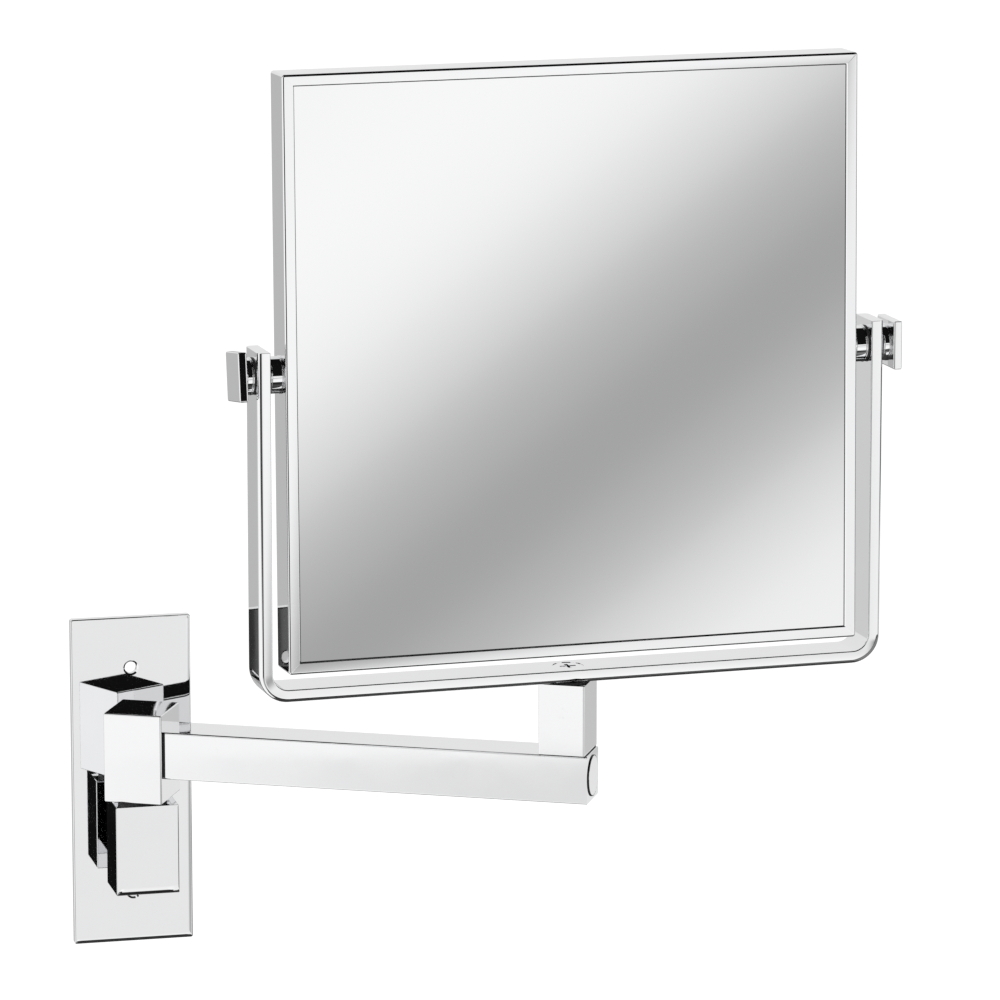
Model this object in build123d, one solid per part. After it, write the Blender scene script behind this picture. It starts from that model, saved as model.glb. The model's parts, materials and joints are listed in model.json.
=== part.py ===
"""Extendable shaving mirror: a square two-sided mirror on a single swing arm.

Millimetres, +Z up. The origin is the middle of the wall plate's back face, the wall is the plane
y = 0, +X runs along the wall and the mirror stands out towards -Y.

The wall plate carries a fixed bracket block. The knuckle block turns on a vertical bolt in that
block and holds the arm. A post stands on the arm's end, the yoke swivels on the post, and the
mirror head tilts between the yoke's two arms on studs that are clamped by square knobs.
"""

from build123d import *
import os
from math import cos, radians, sin

# ---------------------------------------------------------------- clearances and fits
running_clearance = 0.05      # radial, a shaft turning in its bush, nut or countersink
loose_clearance = 0.30        # radial, a shaft passing through a piece that it doesn't run in
thread_clearance = 0.05       # radial, a screw in its own tapped hole
fixed_clearance = 0.05        # per side, a piece bonded or pressed into another
face_clearance = 0.05         # between flat faces that slide on each other
cap_clearance = 0.30          # between the pivot bolt's head and the cap under it
hole_runout = 0.5             # of a blind hole beyond its screw
overlap = 1.0                 # by which cutters pass a face, and joined shapes run into each other

# ---------------------------------------------------------------- wall plate
plate_width = 42.0
plate_height = 116.0
plate_thickness = 3.0
plate_corner_round = 0.8
plate_edge_round = 0.7
wall_screw_edge_distance = 18.0
wall_screw_hole_diameter = 4.2
wall_screw_chamfer = 0.4

# ---------------------------------------------------------------- vertical pivot of the arm
pivot_standoff = 19.5         # from the plate's front face to the pivot axis
pivot_bolt_diameter = 8.0
pivot_bolt_bite = 17.0        # thread held in the knuckle block
bolt_head_diameter = 13.0
bolt_head_height = 7.0
bolt_socket_width = 6.0
bolt_socket_depth = 4.0
bolt_head_room = 1.0          # radial, around the head in its counterbore
bush_wall = 1.5
thrust_washer_thickness = 1.0
disc_spring_thickness = 0.7
disc_spring_rise = 0.3
friction_washer_diameter = 17.0
friction_washer_thickness = 1.35
pivot_cap_thickness = 2.0

# ---------------------------------------------------------------- bracket block
bracket_top = -2.4            # height of its top face above the plate's middle
bracket_height = 31.4
bracket_side_wall = 3.5       # beside the counterbore
bracket_front_wall = 2.0      # in front of and behind the counterbore
bracket_round = 0.5
bracket_crown_radius = 150.0  # of the gently domed front face
neck_width = 14.0
neck_height = 20.0
bracket_screw_diameter = 4.0
bracket_screw_head_diameter = 8.0
bracket_screw_bite = 8.0      # thread held in the neck
bracket_screw_spacing = 11.0
bracket_screw_socket_width = 2.5
bracket_screw_socket_depth = 1.5

# ---------------------------------------------------------------- knuckle block
knuckle_width = 20.6          # along the arm
knuckle_depth = 22.0
knuckle_height = 31.3
knuckle_round = 0.5

# ---------------------------------------------------------------- arm
arm_reach = 150.8             # from the pivot axis to the post's axis
arm_height = 16.5
arm_depth = 17.0
arm_wall = 1.15               # at the thinnest, beside the round bore
arm_round = 0.6
arm_rise = 16.8               # of the arm's axis above the knuckle's bottom face
arm_overrun = 0.7             # of the arm beyond the post
spigot_length = 16.0          # inside the arm
spigot_step = 1.1
spigot_web = 1.0              # between the spigot's bore and the pivot bolt's bore
grub_screw_diameter = 4.0
grub_screw_length = 5.0
grub_screw_sunk = 0.4         # below the arm's wall, inside
grub_socket_width = 2.0
grub_socket_depth = 1.7
end_plug_length = 3.0
end_plug_proud = 0.4
slug_length = 16.0

# ---------------------------------------------------------------- post
post_width = 16.0
post_depth = 19.0
post_height = 24.6
post_round = 0.5
post_web = 4.0                # solid metal between its two tapped holes
post_screw_diameter = 5.0
post_screw_head_diameter = 8.5
post_screw_head_height = 5.0
post_screw_seat_drop = 1.5    # of the head's seat below the arm's axis
post_screw_socket_width = 4.0
post_screw_socket_depth = 2.5

# ---------------------------------------------------------------- mirror head
head_width = 200.0
head_height = 200.0
head_depth = 15.0
frame_wall = 1.5
frame_lip_width = 4.0
frame_lip_thickness = 0.8
frame_corner_round = 1.0
frame_edge_round = 0.6
glass_clearance = 0.2
front_glass_thickness = 3.0
rear_glass_thickness = 2.5
pad_thickness = 0.6
pad_margin = 4.0              # of the foam from the glass's edge and from the nuts
dish_margin = 10.3            # from the rear glass's edge to its magnifying dish
dish_depth = 2.2
dish_room = 0.5               # behind and around the dish in the tray
bezel_width = 3.4
bezel_thickness = 1.2
bezel_round = 0.4

# ---------------------------------------------------------------- yoke
side_gap = 5.2                # between the head and each yoke arm
floor_gap = 5.2               # between the head and the yoke's bottom bar
yoke_bar_thickness = 4.4
yoke_bar_depth = 16.0
yoke_corner_radius = 10.0
yoke_edge_round = 1.2
yoke_inner_radius_least = 0.5
yoke_arm_overrun = 8.8        # above the tilt axis
yoke_screw_head_diameter = 10.5
yoke_screw_shoulder_diameter = 6.0
yoke_screw_thread_diameter = 5.0
yoke_screw_thread_length = 11.0
yoke_screw_land = 0.3
yoke_screw_sunk = 0.15
cross_recess_length = 5.6
cross_recess_width = 1.2
cross_recess_depth = 1.5
swivel_washer_diameter = 15.0
swivel_washer_thickness = 0.4

# ---------------------------------------------------------------- tilt pivots and knobs
stud_diameter = 4.0
stud_knob_bite = 1.6
stud_nut_bite = 11.5
collar_diameter = 12.4
collar_round = 0.3
tilt_washer_thickness = 0.5
tilt_bush_wall = 1.45
outer_collar_length = 2.9
nut_length = 12.0
nut_height = 14.0
knob_size = 16.5
knob_thickness = 3.0
knob_round = 0.5

# ---------------------------------------------------------------- rest pose, degrees
arm_turn = -27.5              # of the arm from the wall's direction, about +Z
yoke_turn = 3.5               # of the yoke from the wall's direction, about +Z
head_tilt = -1.2              # of the head about the tilt axis: its top leans back
knob_turns = {"left": -8.0, "right": 0.0}

# ---------------------------------------------------------------- derived sizes and places
wall_screw_spacing = plate_height - 2 * wall_screw_edge_distance
pivot_y = -(plate_thickness + pivot_standoff)

counterbore_diameter = bolt_head_diameter + 2 * bolt_head_room
bracket_width = counterbore_diameter + 2 * bracket_side_wall
bracket_depth = counterbore_diameter + 2 * bracket_front_wall
bracket_bottom = bracket_top - bracket_height
bracket_middle = bracket_top - bracket_height / 2
bush_bore = pivot_bolt_diameter + 2 * running_clearance
bush_outside = bush_bore + 2 * bush_wall
disc_stack = 2 * (disc_spring_thickness + disc_spring_rise) + face_clearance
cap_top = bracket_bottom + pivot_cap_thickness
bolt_head_bottom = cap_top + cap_clearance
bolt_head_top = bolt_head_bottom + bolt_head_height
thrust_washer_bottom = bolt_head_top + disc_stack + face_clearance
counterbore_floor = thrust_washer_bottom + thrust_washer_thickness

knuckle_bottom = bracket_top + friction_washer_thickness + face_clearance
knuckle_top = knuckle_bottom + knuckle_height
arm_axis = knuckle_bottom + arm_rise
arm_top = arm_axis + arm_height / 2
arm_bottom = arm_axis - arm_height / 2
arm_start = knuckle_width / 2
arm_tip = arm_reach + post_width / 2 + arm_overrun
arm_bore = min(arm_height, arm_depth) - 2 * arm_wall
insert_diameter = arm_bore - 2 * fixed_clearance
spigot_nose_diameter = insert_diameter - 2 * spigot_step
spigot_nose_start = pivot_bolt_diameter / 2 + spigot_web
grub_at_nose = (spigot_nose_start + arm_start) / 2
grub_at_arm = arm_start + spigot_length / 2
slug_end = arm_tip - end_plug_length
post_screw_seat = arm_axis - post_screw_seat_drop

post_top = arm_top + post_height
yoke_screw_hole_depth = yoke_screw_thread_length + hole_runout
post_screw_bite = post_height - post_web - yoke_screw_hole_depth
post_x = arm_reach * cos(radians(arm_turn))
post_y = pivot_y + arm_reach * sin(radians(arm_turn))

yoke_bottom = post_top + swivel_washer_thickness + face_clearance
yoke_floor = yoke_bottom + yoke_bar_thickness
tilt_axis = yoke_floor + floor_gap + head_height / 2
yoke_top = tilt_axis + yoke_arm_overrun
yoke_inside = head_width / 2 + side_gap
yoke_outside = yoke_inside + yoke_bar_thickness

stud_loose_hole = stud_diameter + 2 * loose_clearance
stud_running_hole = stud_diameter + 2 * running_clearance
bush_hole = stud_running_hole + 2 * tilt_bush_wall
knob_inside = yoke_outside + tilt_washer_thickness + face_clearance + outer_collar_length
knob_outside = knob_inside + knob_thickness

cavity_width = head_width - 2 * frame_wall
cavity_height = head_height - 2 * frame_wall
glass_width = cavity_width - 2 * glass_clearance
glass_height = cavity_height - 2 * glass_clearance
dish_diameter = min(glass_width, glass_height) - 2 * dish_margin
front_glass_back = -head_depth / 2 + frame_lip_thickness + front_glass_thickness
tray_front = front_glass_back + pad_thickness
rear_glass_front = head_depth / 2 - bezel_thickness - rear_glass_thickness
tray_back = rear_glass_front - pad_thickness


# ---------------------------------------------------------------- helpers
def block(x, y, z):
    """Box from three (low, high) pairs."""
    size = [pair[1] - pair[0] for pair in (x, y, z)]
    middle = [(pair[0] + pair[1]) / 2 for pair in (x, y, z)]
    return Pos(*middle) * Box(*size)


def centred(size):
    """A (low, high) pair centred on zero."""
    return (-size / 2, size / 2)


def rod_x(diameter, start, end, z=0.0):
    return Pos((start + end) / 2, 0, z) * Rot(0, 90, 0) * Cylinder(diameter / 2, abs(end - start))


def rod_y(diameter, start, end, z=0.0):
    return Pos(0, (start + end) / 2, z) * Rot(90, 0, 0) * Cylinder(diameter / 2, abs(end - start))


def rod_z(diameter, start, end, x=0.0):
    return Pos(x, 0, (start + end) / 2) * Cylinder(diameter / 2, abs(end - start))


def ring_z(outside, hole, start, end):
    return rod_z(outside, start, end) - rod_z(hole, start - overlap, end + overlap)


def hexagon_z(width, start, end, x=0.0):
    flat = RegularPolygon(width / 2, 6, major_radius=False)
    return Pos(x, 0, start) * extrude(flat, end - start)


def turned_z(points):
    """Solid of revolution about Z from (radius, height) points."""
    face = make_face(Polyline([(r, 0, z) for r, z in points], close=True))
    return revolve(face, Axis.Z, 360)


def softened(solid, radius):
    """Every edge rounded."""
    return fillet(solid.edges(), radius)


# ---------------------------------------------------------------- wall bracket
def bracket_screw_places():
    return [bracket_middle + side * bracket_screw_spacing / 2 for side in (-1, 1)]


def bracket_screw(extra, length):
    """Countersunk screw, or with extra its hole, from the plate's back face towards -Y."""
    head_radius = bracket_screw_head_diameter / 2 + extra
    shank_radius = bracket_screw_diameter / 2 + extra
    cone = head_radius - shank_radius
    outline = [(0, 0), (head_radius, 0), (shank_radius, cone), (shank_radius, length), (0, length)]
    return Rot(90, 0, 0) * turned_z(outline)


def make_wall_plate():
    plate = block(centred(plate_width), (-plate_thickness, 0), centred(plate_height))
    plate = fillet(plate.edges().filter_by(Axis.Y), plate_corner_round)
    plate = fillet(plate.faces().sort_by(Axis.Y)[0].edges(), plate_edge_round)
    for side in (-1, 1):
        z = side * wall_screw_spacing / 2
        plate -= rod_y(wall_screw_hole_diameter, -plate_thickness - overlap, overlap, z)
        mouth = wall_screw_hole_diameter / 2 + wall_screw_chamfer
        cone = Cone(mouth, wall_screw_hole_diameter / 2, wall_screw_chamfer)
        plate -= Pos(0, -plate_thickness + wall_screw_chamfer / 2, z) * Rot(-90, 0, 0) * cone
    for z in bracket_screw_places():
        plate -= Pos(0, 0, z) * bracket_screw(thread_clearance, plate_thickness + overlap)
    return plate


def make_bracket_block():
    front = pivot_y - bracket_depth / 2
    back = pivot_y + bracket_depth / 2
    body = block(centred(bracket_width), (front, back), (bracket_bottom, bracket_top))
    dome = Pos(0, front + bracket_crown_radius, bracket_middle) * Sphere(bracket_crown_radius)
    body = body & dome
    front_edges = body.faces().sort_by(Axis.Y)[0].edges().sort_by(Axis.Z)[:-1]
    body = fillet(front_edges, bracket_round)
    neck = block(centred(neck_width), (back - overlap, -plate_thickness),
                 (bracket_middle - neck_height / 2, bracket_middle + neck_height / 2))
    body += neck
    bush_seat = bush_outside + 2 * fixed_clearance
    shaft = rod_z(bush_seat, bracket_bottom - overlap, bracket_top + overlap)
    counterbore = rod_z(counterbore_diameter, bracket_bottom - overlap, counterbore_floor)
    body -= Pos(0, pivot_y, 0) * (shaft + counterbore)
    for z in bracket_screw_places():
        depth = plate_thickness + bracket_screw_bite + hole_runout
        body -= Pos(0, 0, z) * bracket_screw(thread_clearance, depth)
    return body


def make_bracket_screws():
    screws = []
    for z in bracket_screw_places():
        screw = bracket_screw(0, plate_thickness + bracket_screw_bite)
        socket = hexagon_z(bracket_screw_socket_width, -overlap, bracket_screw_socket_depth)
        screws.append(Pos(0, 0, z) * (screw - Rot(90, 0, 0) * socket))
    return screws


def make_pivot_bush():
    return ring_z(bush_outside, bush_bore, counterbore_floor, bracket_top)


def make_thrust_washer():
    hole = pivot_bolt_diameter + 2 * loose_clearance
    outside = counterbore_diameter - 2 * fixed_clearance
    return ring_z(outside, hole, thrust_washer_bottom, counterbore_floor)


def make_friction_washer():
    hole = pivot_bolt_diameter + 2 * loose_clearance
    return ring_z(friction_washer_diameter, hole, bracket_top, bracket_top + friction_washer_thickness)


def make_pivot_cap():
    return rod_z(counterbore_diameter - 2 * fixed_clearance, bracket_bottom, cap_top)


# ---------------------------------------------------------------- arm, along +X from the pivot axis
def make_knuckle_block():
    body = block(centred(knuckle_width), centred(knuckle_depth), (knuckle_bottom, knuckle_top))
    body = softened(body, knuckle_round)
    tapped = pivot_bolt_diameter + 2 * thread_clearance
    bolt_hole_end = knuckle_bottom + pivot_bolt_bite + hole_runout
    body -= rod_z(tapped, knuckle_bottom - overlap, bolt_hole_end)
    nose = spigot_nose_diameter + 2 * fixed_clearance
    body -= rod_x(nose, spigot_nose_start - fixed_clearance, arm_start + overlap, arm_axis)
    grub_hole = grub_screw_diameter + 2 * thread_clearance
    body -= rod_z(grub_hole, knuckle_bottom - overlap, arm_axis, grub_at_nose)
    return body


def make_pivot_bolt():
    head = rod_z(bolt_head_diameter, bolt_head_bottom, bolt_head_top)
    shank = rod_z(pivot_bolt_diameter, bolt_head_top - overlap, knuckle_bottom + pivot_bolt_bite)
    socket_end = bolt_head_bottom + bolt_socket_depth
    socket = hexagon_z(bolt_socket_width, bolt_head_bottom - overlap, socket_end)
    return head + shank - socket


def make_disc_springs():
    inner = pivot_bolt_diameter / 2 + thread_clearance
    outer = bolt_head_diameter / 2
    rise = disc_spring_rise
    thick = disc_spring_thickness
    lower = [(inner, 0), (outer, rise), (outer, rise + thick), (inner, thick)]
    upper = [(r, disc_stack - z) for r, z in lower]
    return [Pos(0, 0, bolt_head_top) * turned_z(outline) for outline in (lower, upper)]


def grub_seat_arm():
    """Height of the flat that the arm's grub screw bears on."""
    return arm_bottom + arm_wall + grub_screw_length - grub_screw_sunk


def make_arm_spigot():
    body = rod_x(insert_diameter, arm_start + fixed_clearance, arm_start + spigot_length, arm_axis)
    nose = rod_x(spigot_nose_diameter, spigot_nose_start, arm_start + overlap, arm_axis)
    hole = rod_z(grub_screw_diameter + 2 * thread_clearance, arm_bottom, grub_seat_arm(), grub_at_arm)
    return body + nose - hole


def make_arm_bar():
    bar = block((arm_start, arm_tip), centred(arm_depth), (arm_bottom, arm_top))
    bar = fillet(bar.edges().filter_by(Axis.X), arm_round)
    bar -= rod_x(arm_bore, arm_start - overlap, arm_tip + overlap, arm_axis)
    access = post_screw_head_diameter + 2 * loose_clearance
    bar -= rod_z(access, arm_bottom - overlap, arm_axis, arm_reach)
    bar -= rod_z(post_screw_diameter + 2 * loose_clearance, arm_axis, arm_top + overlap, arm_reach)
    grub_hole = grub_screw_diameter + 2 * thread_clearance
    bar -= rod_z(grub_hole, arm_bottom - overlap, arm_axis, grub_at_arm)
    return bar


def make_grub_screws():
    tops = {grub_at_nose: arm_axis - spigot_nose_diameter / 2, grub_at_arm: grub_seat_arm()}
    screws = []
    for x, top in tops.items():
        bottom = top - grub_screw_length
        socket = hexagon_z(grub_socket_width, bottom - overlap, bottom + grub_socket_depth, x)
        screws.append(rod_z(grub_screw_diameter, bottom, top, x) - socket)
    return screws


def make_arm_slug():
    slug = rod_x(insert_diameter, slug_end - slug_length, slug_end, arm_axis)
    access = post_screw_head_diameter + 2 * loose_clearance
    slug -= rod_z(access, arm_bottom - overlap, post_screw_seat, arm_reach)
    slug -= rod_z(post_screw_diameter + 2 * loose_clearance, arm_bottom, arm_top, arm_reach)
    return slug


def make_arm_end_plug():
    plug = rod_x(insert_diameter, slug_end, arm_tip + end_plug_proud, arm_axis)
    return fillet(plug.faces().sort_by(Axis.X)[-1].edges(), end_plug_proud / 2)


def make_post_block():
    x = (arm_reach - post_width / 2, arm_reach + post_width / 2)
    body = block(x, centred(post_depth), (arm_top, post_top))
    body = fillet(body.edges().filter_by(Axis.Z), post_round)
    low_hole = post_screw_diameter + 2 * thread_clearance
    body -= rod_z(low_hole, arm_top - overlap, arm_top + post_screw_bite + hole_runout, arm_reach)
    high_hole = yoke_screw_thread_diameter + 2 * thread_clearance
    body -= rod_z(high_hole, post_top - yoke_screw_hole_depth, post_top + overlap, arm_reach)
    return body


def make_post_screw():
    head_bottom = post_screw_seat - post_screw_head_height
    head = rod_z(post_screw_head_diameter, head_bottom, post_screw_seat, arm_reach)
    shank_start = post_screw_seat - overlap
    shank = rod_z(post_screw_diameter, shank_start, arm_top + post_screw_bite, arm_reach)
    socket = hexagon_z(post_screw_socket_width, head_bottom - overlap,
                       head_bottom + post_screw_socket_depth, arm_reach)
    return head + shank - socket


def make_swivel_washer():
    hole = yoke_screw_shoulder_diameter + 2 * loose_clearance
    washer = ring_z(swivel_washer_diameter, hole, post_top, post_top + swivel_washer_thickness)
    return Pos(arm_reach, 0, 0) * washer


def yoke_screw_head(extra):
    """Countersunk head and shoulder about Z, or with extra the hole that they turn in."""
    top = yoke_floor - yoke_screw_sunk
    head_radius = yoke_screw_head_diameter / 2 + extra
    shoulder_radius = yoke_screw_shoulder_diameter / 2 + extra
    land = top - yoke_screw_land
    outline = [(0, post_top), (shoulder_radius, post_top),
               (shoulder_radius, land - (head_radius - shoulder_radius)),
               (head_radius, land), (head_radius, top + 2 * extra), (0, top + 2 * extra)]
    return turned_z(outline)


def make_yoke_screw():
    thread_end = post_top - yoke_screw_thread_length
    thread = rod_z(yoke_screw_thread_diameter, thread_end, post_top + overlap)
    top = yoke_floor - yoke_screw_sunk
    cross = [block(centred(a), centred(b), (top - cross_recess_depth, top + overlap))
             for a, b in ((cross_recess_length, cross_recess_width),
                          (cross_recess_width, cross_recess_length))]
    screw = yoke_screw_head(0) + thread - cross[0] - cross[1]
    return Pos(arm_reach, 0, 0) * Rot(0, 0, yoke_turn - arm_turn) * screw


# ---------------------------------------------------------------- yoke, about its swivel axis
def yoke_profile():
    height = yoke_top - yoke_bottom
    outer = Pos(0, height / 2) * Rectangle(2 * yoke_outside, height)
    outer = fillet(outer.vertices().group_by(Axis.Y)[0], yoke_corner_radius)
    inner = Pos(0, height / 2 + yoke_bar_thickness) * Rectangle(2 * yoke_inside, height)
    inner_radius = max(yoke_corner_radius - yoke_bar_thickness, yoke_inner_radius_least)
    inner = fillet(inner.vertices().group_by(Axis.Y)[0], inner_radius)
    return outer - inner


def make_yoke():
    bar = extrude(yoke_profile(), yoke_bar_depth)
    bar = Pos(0, yoke_bar_depth / 2, yoke_bottom) * Rot(90, 0, 0) * bar
    for end in (0, -1):
        bar = fillet(bar.faces().sort_by(Axis.Y)[end].edges(), yoke_edge_round)
    bush_seat = bush_hole + 2 * fixed_clearance
    bar -= rod_x(bush_seat, -yoke_outside - overlap, yoke_outside + overlap, tilt_axis)
    bar -= yoke_screw_head(running_clearance)
    top = yoke_floor - yoke_screw_sunk
    bar -= rod_z(yoke_screw_head_diameter + 2 * running_clearance, top, yoke_floor + overlap)
    return bar


def both_sides(start, end, outside, hole, edge_round=0.0):
    """The same ring on the tilt axis at the left and at the right, from start to end outwards."""
    rings = []
    for side in (-1, 1):
        ring = rod_x(outside, side * start, side * end)
        if edge_round > 0:
            ring = fillet(ring.edges().filter_by(GeomType.CIRCLE), edge_round)
        rings.append(ring - rod_x(hole, side * (start - overlap), side * (end + overlap)))
    return rings


def raised(solids):
    return [Pos(0, 0, tilt_axis) * solid for solid in solids]


def make_yoke_bushes():
    return raised(both_sides(yoke_inside, yoke_outside, bush_hole, stud_running_hole))


def make_tilt_washers():
    inner_face = yoke_inside - tilt_washer_thickness
    outer_face = yoke_outside + tilt_washer_thickness
    washers = both_sides(inner_face, yoke_inside, collar_diameter, stud_loose_hole)
    washers += both_sides(yoke_outside, outer_face, collar_diameter, stud_loose_hole)
    return raised(washers)


# ---------------------------------------------------------------- mirror head, about its tilt axis
def panel(width, height, front, back):
    return block(centred(width), (front, back), centred(height))


def make_head_frame():
    shell = panel(head_width, head_height, -head_depth / 2, head_depth / 2)
    shell = fillet(shell.edges().filter_by(Axis.Y), frame_corner_round)
    for end in (0, -1):
        shell = fillet(shell.faces().sort_by(Axis.Y)[end].edges(), frame_edge_round)
    shell -= panel(cavity_width, cavity_height, -head_depth / 2 + frame_lip_thickness, head_depth)
    opening = panel(head_width - 2 * frame_lip_width, head_height - 2 * frame_lip_width,
                    -head_depth, head_depth)
    shell -= opening
    shell -= rod_x(stud_loose_hole, -head_width, head_width)
    return shell


def make_front_glass():
    return panel(glass_width, glass_height, front_glass_back - front_glass_thickness, front_glass_back)


def make_front_pad():
    """Foam sheet between the front glass and the tray, narrow enough to clear the nuts."""
    width = cavity_width - 2 * (nut_length + pad_margin)
    return panel(width, glass_height - 2 * pad_margin, front_glass_back, tray_front)


def make_core_tray():
    tray = panel(glass_width, glass_height, tray_front, tray_back)
    for side in (-1, 1):
        inner = side * (cavity_width / 2 - nut_length - glass_clearance)
        outer = side * head_width / 2
        pocket_height = nut_height + 2 * glass_clearance
        tray -= block(sorted((inner, outer)), centred(head_depth), centred(pocket_height))
    recess = rod_y(dish_diameter + 2 * dish_room, rear_glass_front - dish_depth - dish_room, head_depth)
    return tray - recess


def make_rear_pad():
    pad = panel(glass_width, glass_height, tray_back, rear_glass_front)
    return pad - rod_y(dish_diameter + 2 * dish_room, -head_depth, head_depth)


def make_rear_glass():
    """Flat square margin with a shallow round dish pressed in, so that it magnifies."""
    back = rear_glass_front + rear_glass_thickness
    rim = dish_diameter / 2
    radius = (rim ** 2 + dish_depth ** 2) / (2 * dish_depth)
    centre = back - dish_depth + radius
    visible_ball = Pos(0, centre, 0) * Sphere(radius)
    hidden_ball = Pos(0, centre - rear_glass_thickness, 0) * Sphere(radius)
    bulge = rod_y(dish_diameter, rear_glass_front - dish_depth - overlap, back) & hidden_ball
    return panel(glass_width, glass_height, rear_glass_front, back) + bulge - visible_ball


def make_rear_bezel():
    width = cavity_width - 2 * fixed_clearance
    height = cavity_height - 2 * fixed_clearance
    bezel = panel(width, height, head_depth / 2 - bezel_thickness, head_depth / 2)
    opening = panel(width - 2 * bezel_width, height - 2 * bezel_width, 0, head_depth)
    bezel -= opening
    inner_edges = bezel.faces().sort_by(Axis.Y)[-1].inner_wires()[0].edges()
    return fillet(inner_edges, bezel_round)


def make_pivot_nuts():
    """Threaded blocks in the tray's two pockets, filling the room between the two glasses."""
    depth = (front_glass_back + glass_clearance, tray_back - glass_clearance)
    nuts = []
    for side in (-1, 1):
        span = sorted((side * (cavity_width / 2 - nut_length), side * cavity_width / 2))
        nut = block(span, depth, centred(nut_height))
        nuts.append(nut - rod_x(stud_running_hole, 0, side * head_width))
    return nuts


def make_inner_collars():
    end = yoke_inside - tilt_washer_thickness - face_clearance
    return both_sides(head_width / 2, end, collar_diameter, stud_loose_hole, collar_round)


# ---------------------------------------------------------------- knobs, about the tilt axis
def make_knob(side):
    span = sorted((side * knob_inside, side * knob_outside))
    knob = softened(block(span, centred(knob_size), centred(knob_size)), knob_round)
    hole_end = side * (knob_inside + stud_knob_bite)
    return knob - rod_x(stud_diameter + 2 * fixed_clearance, side * (knob_inside - overlap), hole_end)


def make_stud(side):
    inner = side * (cavity_width / 2 - stud_nut_bite)
    return rod_x(stud_diameter, inner, side * (knob_inside + stud_knob_bite))


def make_outer_collar(side):
    start = knob_inside - outer_collar_length
    collar = rod_x(collar_diameter, side * start, side * knob_inside)
    collar = fillet(collar.edges().filter_by(GeomType.CIRCLE), collar_round)
    hole = stud_diameter + 2 * fixed_clearance
    return collar - rod_x(hole, side * (start - overlap), side * (knob_inside + overlap))


# ---------------------------------------------------------------- assembly in the rest pose
wall_place = Location((0, 0, 0))
pivot_place = Location((0, pivot_y, 0))
arm_place = Location((0, pivot_y, 0), (0, 0, arm_turn))
yoke_place = Location((post_x, post_y, 0), (0, 0, yoke_turn))
head_place = yoke_place * Location((0, 0, tilt_axis), (head_tilt, 0, 0))

nodes = {
    "wall_plate": (wall_place, make_wall_plate()),
    "bracket_block": (wall_place, make_bracket_block()),
    "bracket_screws": (wall_place, make_bracket_screws()),
    "pivot_bush": (pivot_place, make_pivot_bush()),
    "thrust_washer": (pivot_place, make_thrust_washer()),
    "friction_washer": (pivot_place, make_friction_washer()),
    "pivot_cap": (pivot_place, make_pivot_cap()),
    "knuckle_block": (arm_place, make_knuckle_block()),
    "pivot_bolt": (arm_place, make_pivot_bolt()),
    "disc_springs": (arm_place, make_disc_springs()),
    "arm_spigot": (arm_place, make_arm_spigot()),
    "arm_bar": (arm_place, make_arm_bar()),
    "grub_screws": (arm_place, make_grub_screws()),
    "arm_slug": (arm_place, make_arm_slug()),
    "arm_end_plug": (arm_place, make_arm_end_plug()),
    "post_block": (arm_place, make_post_block()),
    "post_screw": (arm_place, make_post_screw()),
    "swivel_washer": (arm_place, make_swivel_washer()),
    "yoke_screw": (arm_place, make_yoke_screw()),
    "yoke": (yoke_place, make_yoke()),
    "yoke_bushes": (yoke_place, make_yoke_bushes()),
    "tilt_washers": (yoke_place, make_tilt_washers()),
    "head_frame": (head_place, make_head_frame()),
    "front_glass": (head_place, make_front_glass()),
    "front_pad": (head_place, make_front_pad()),
    "core_tray": (head_place, make_core_tray()),
    "rear_pad": (head_place, make_rear_pad()),
    "rear_glass": (head_place, make_rear_glass()),
    "rear_bezel": (head_place, make_rear_bezel()),
    "pivot_nuts": (head_place, make_pivot_nuts()),
    "inner_collars": (head_place, make_inner_collars()),
}
for name, side in (("left", -1), ("right", 1)):
    knob_place = yoke_place * Location((0, 0, tilt_axis), (knob_turns[name], 0, 0))
    nodes["knob_" + name] = (knob_place, make_knob(side))
    nodes["stud_" + name] = (knob_place, make_stud(side))
    nodes["outer_collar_" + name] = (knob_place, make_outer_collar(side))

os.makedirs("parts", exist_ok=True)
for name, (place, shape) in nodes.items():
    pieces = shape if isinstance(shape, list) else [shape]
    placed = [piece.moved(place).solid() for piece in pieces]
    export_step(placed[0] if len(placed) == 1 else Compound(placed), f"parts/{name}.step")

print("pivot axis", 0.0, round(pivot_y, 4))
print("post axis", round(post_x, 4), round(post_y, 4))
print("tilt axis height", round(tilt_axis, 4))
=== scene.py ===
"""Extendable shaving mirror: the looks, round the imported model. Metres, +Z up, wall at y = 0."""
import json
from math import copysign, cos, pi, radians, sin, tan

import bmesh
import bpy
from mathutils import Matrix, Vector


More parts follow.
